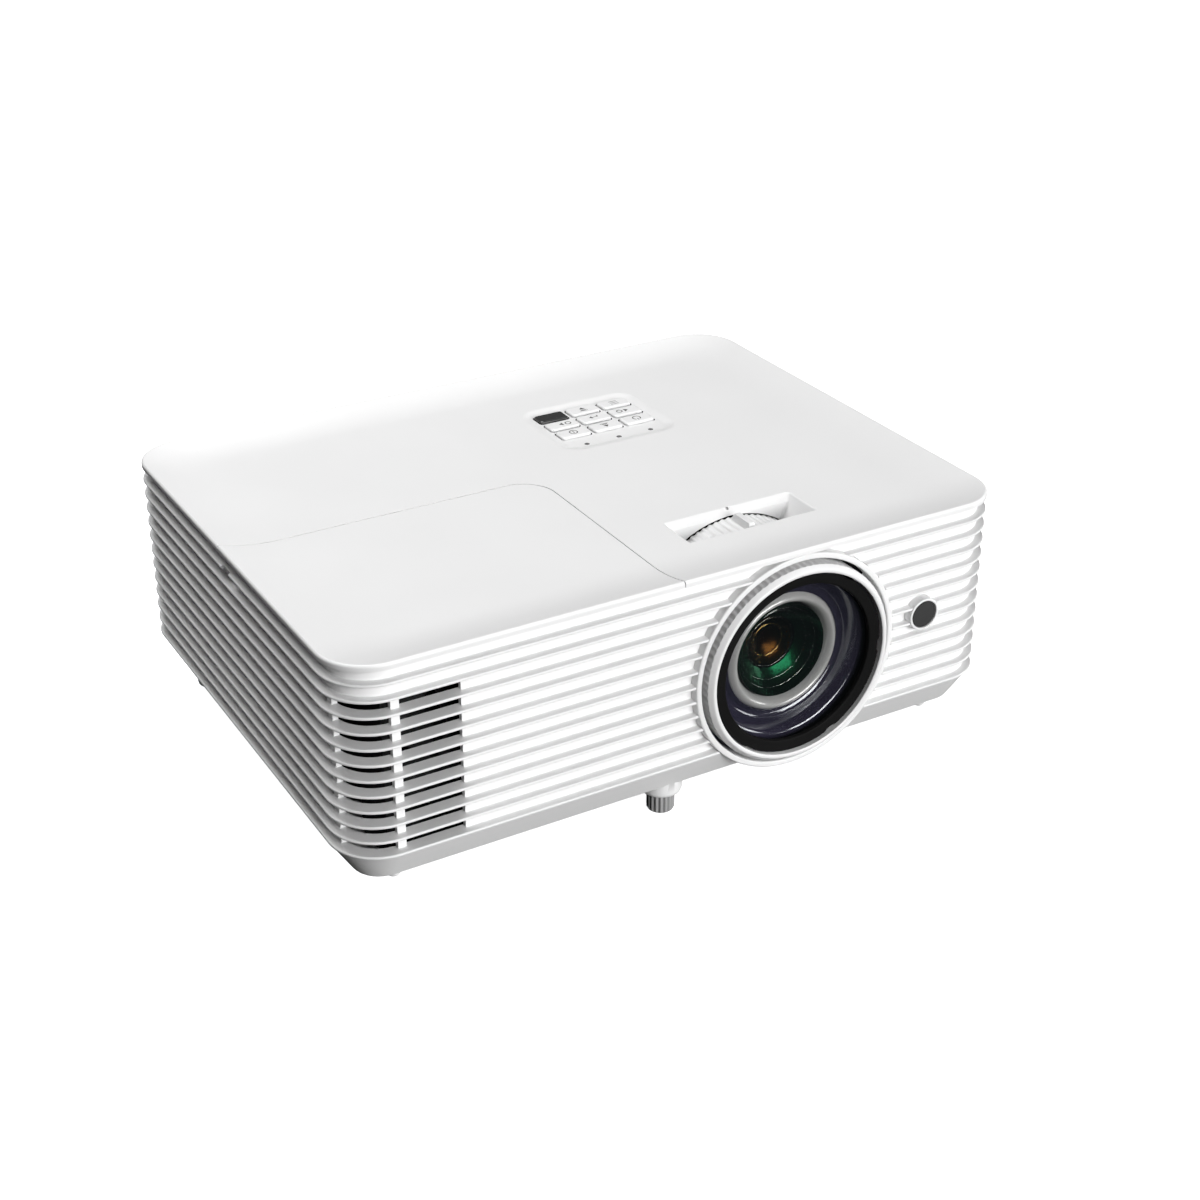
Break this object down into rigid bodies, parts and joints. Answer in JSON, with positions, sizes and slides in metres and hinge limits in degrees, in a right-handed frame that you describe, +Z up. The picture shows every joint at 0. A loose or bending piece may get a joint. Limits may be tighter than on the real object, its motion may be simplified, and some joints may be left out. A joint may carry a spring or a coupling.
{
  "type": "home projector",
  "caption": "White short-throw home projector: ribbed case, dished top with keypad and focus slot, wide front lens, smoked remote window, air vents, rear ports and screw feet.",
  "frame": {"origin": "on the table, under the middle of the object's box", "axes": "the lens looks along -Y, so the front is at low y; +X is the right of a person who looks at the front; +Z is up"},
  "size_m": [0.316, 0.2424, 0.118],
  "materials": {
    "case_plastic": "fine matt moulded white plastic",
    "drum_plastic": "satin moulded white plastic",
    "key_plastic": null,
    "smoked_window": "polished smoked plastic that passes infra-red light",
    "indicator": "clear light pipe",
    "lens_black": "matt black moulded plastic",
    "lens_glass": "polished and coated against reflections",
    "colour_filter": "colour filter segments on a clear disc",
    "engine_alloy": "as cast",
    "lamp_plastic": "heat-resistant moulded plastic",
    "reflector": "polished reflector",
    "fan_plastic": "black moulded plastic",
    "circuit_board": "green solder mask over glass-fibre board",
    "inlet_plastic": "black moulded plastic",
    "port_steel": "thin bright steel shell",
    "foot_plastic": "grey moulded plastic with grip flutes",
    "plated_steel": "zinc plated"
  },
  "bodies": {
    "case": {"top_cover": "case_plastic", "side_shell": "case_plastic", "bottom_tray": "case_plastic", "rear_panel": "case_plastic", "lens_bezel": "case_plastic", "front_eye_bezel": "case_plastic", "front_eye_window": "smoked_window", "top_eye_window": "smoked_window", "led_temp": "indicator", "led_lamp": "indicator", "led_power": "indicator", "lens_mount": "lens_black", "light_engine": "engine_alloy", "engine_heatsink": "engine_alloy", "colour_wheel_motor": "engine_alloy", "speaker": "engine_alloy", "lamp_housing": "lamp_plastic", "lamp_reflector": "reflector", "exhaust_fan_frame": "fan_plastic", "intake_blower": "fan_plastic", "keypad_board": "circuit_board", "main_board": "circuit_board", "power_supply": "circuit_board", "ac_inlet": "inlet_plastic", "audio_jack": "inlet_plastic", "hdmi_port_1": "port_steel", "hdmi_port_2": "port_steel", "vga_port": "port_steel", "usb_port": "port_steel", "case_screw_1": "plated_steel", "case_screw_2": "plated_steel", "case_screw_3": "plated_steel", "case_screw_4": "plated_steel"},
    "focus_ring": {"focus_ring": "drum_plastic"},
    "lens_group": {"lens_retainer": "lens_black", "lens_cell": "lens_black", "front_lens": "lens_glass", "inner_barrel": "lens_black", "second_lens": "lens_glass", "third_lens": "lens_glass"},
    "lamp_cover": {"lamp_cover": "case_plastic"},
    "exhaust_fan_rotor": {"exhaust_fan_rotor": "fan_plastic"},
    "colour_wheel": {"colour_wheel": "colour_filter"},
    "intake_blower_rotor": {"intake_blower_rotor": "fan_plastic"},
    "key_up": {"key_up": "key_plastic"},
    "key_menu": {"key_menu": "key_plastic"},
    "key_left": {"key_left": "key_plastic"},
    "key_enter": {"key_enter": "key_plastic"},
    "key_right": {"key_right": "key_plastic"},
    "key_info": {"key_info": "key_plastic"},
    "key_down": {"key_down": "key_plastic"},
    "key_power": {"key_power": "key_plastic"},
    "front_foot_stud": {"front_foot_stud": "plated_steel"},
    "front_foot_knob": {"front_foot_knob": "foot_plastic"},
    "rear_left_foot_stud": {"rear_left_foot_stud": "plated_steel"},
    "rear_left_foot_knob": {"rear_left_foot_knob": "foot_plastic"},
    "rear_right_foot_stud": {"rear_right_foot_stud": "plated_steel"},
    "rear_right_foot_knob": {"rear_right_foot_knob": "foot_plastic"}
  },
  "joints": [
    {"name": "focus_turn", "type": "hinge", "parent": "case", "child": "focus_ring", "pos_m": [0.049, -0.0926, 0.0652], "axis": [0, 1, 0], "range_deg": [-30, 30]},
    {"name": "lens_focus_slide", "type": "slide", "parent": "case", "child": "lens_group", "axis": [0, 1, 0], "range_m": [-0.0008, 0.0008]},
    {"name": "lamp_cover_lift", "type": "slide", "parent": "case", "child": "lamp_cover", "axis": [0, 0, 1], "range_m": [0, 0.08]},
    {"name": "exhaust_fan_spin", "type": "hinge", "parent": "case", "child": "exhaust_fan_rotor", "pos_m": [-0.096, -0.0906, 0.05965], "axis": [0, 1, 0], "continuous": true},
    {"name": "colour_wheel_spin", "type": "hinge", "parent": "case", "child": "colour_wheel", "pos_m": [-0.044, -0.0271, 0.05398], "axis": [1, 0, 0], "continuous": true},
    {"name": "intake_blower_spin", "type": "hinge", "parent": "case", "child": "intake_blower_rotor", "pos_m": [0.1318, -0.01718, 0.0612], "axis": [1, 0, 0], "continuous": true},
    {"name": "key_up_press", "type": "slide", "parent": "case", "child": "key_up", "axis": [0, 0, -1], "range_m": [0, 0.0008], "stiffness_N_per_m": 800},
    {"name": "key_menu_press", "type": "slide", "parent": "case", "child": "key_menu", "axis": [0, 0, -1], "range_m": [0, 0.0008], "stiffness_N_per_m": 800},
    {"name": "key_left_press", "type": "slide", "parent": "case", "child": "key_left", "axis": [0, 0, -1], "range_m": [0, 0.0008], "stiffness_N_per_m": 800},
    {"name": "key_enter_press", "type": "slide", "parent": "case", "child": "key_enter", "axis": [0, 0, -1], "range_m": [0, 0.0008], "stiffness_N_per_m": 800},
    {"name": "key_right_press", "type": "slide", "parent": "case", "child": "key_right", "axis": [0, 0, -1], "range_m": [0, 0.0008], "stiffness_N_per_m": 800},
    {"name": "key_info_press", "type": "slide", "parent": "case", "child": "key_info", "axis": [0, 0, -1], "range_m": [0, 0.0008], "stiffness_N_per_m": 800},
    {"name": "key_down_press", "type": "slide", "parent": "case", "child": "key_down", "axis": [0, 0, -1], "range_m": [0, 0.0008], "stiffness_N_per_m": 800},
    {"name": "key_power_press", "type": "slide", "parent": "case", "child": "key_power", "axis": [0, 0, -1], "range_m": [0, 0.0008], "stiffness_N_per_m": 800},
    {"name": "front_foot_raise", "type": "slide", "parent": "case", "child": "front_foot_stud", "axis": [0, 0, 1], "range_m": [0, 0.0075]},
    {"name": "front_foot_turn", "type": "hinge", "parent": "front_foot_stud", "child": "front_foot_knob", "pos_m": [-0.0065, -0.09905, 0.005], "axis": [0, 0, 1], "range_deg": [0, 2160]},
    {"name": "rear_left_foot_raise", "type": "slide", "parent": "case", "child": "rear_left_foot_stud", "axis": [0, 0, 1], "range_m": [0, 0.0075]},
    {"name": "rear_left_foot_turn", "type": "hinge", "parent": "rear_left_foot_stud", "child": "rear_left_foot_knob", "pos_m": [-0.1374, 0.09935, 0.005], "axis": [0, 0, 1], "range_deg": [0, 2160]},
    {"name": "rear_right_foot_raise", "type": "slide", "parent": "case", "child": "rear_right_foot_stud", "axis": [0, 0, 1], "range_m": [0, 0.0075]},
    {"name": "rear_right_foot_turn", "type": "hinge", "parent": "rear_right_foot_stud", "child": "rear_right_foot_knob", "pos_m": [0.1374, 0.09935, 0.005], "axis": [0, 0, 1], "range_deg": [0, 2160]}
  ],
  "couplings": [
    {"joint": "lens_focus_slide", "follows": "focus_turn", "m_per_rad": 0.0015},
    {"joint": "front_foot_turn", "follows": "front_foot_raise", "rad_per_m": 5026.5},
    {"joint": "rear_left_foot_turn", "follows": "rear_left_foot_raise", "rad_per_m": 5026.5},
    {"joint": "rear_right_foot_turn", "follows": "rear_right_foot_raise", "rad_per_m": 5026.5}
  ]
}
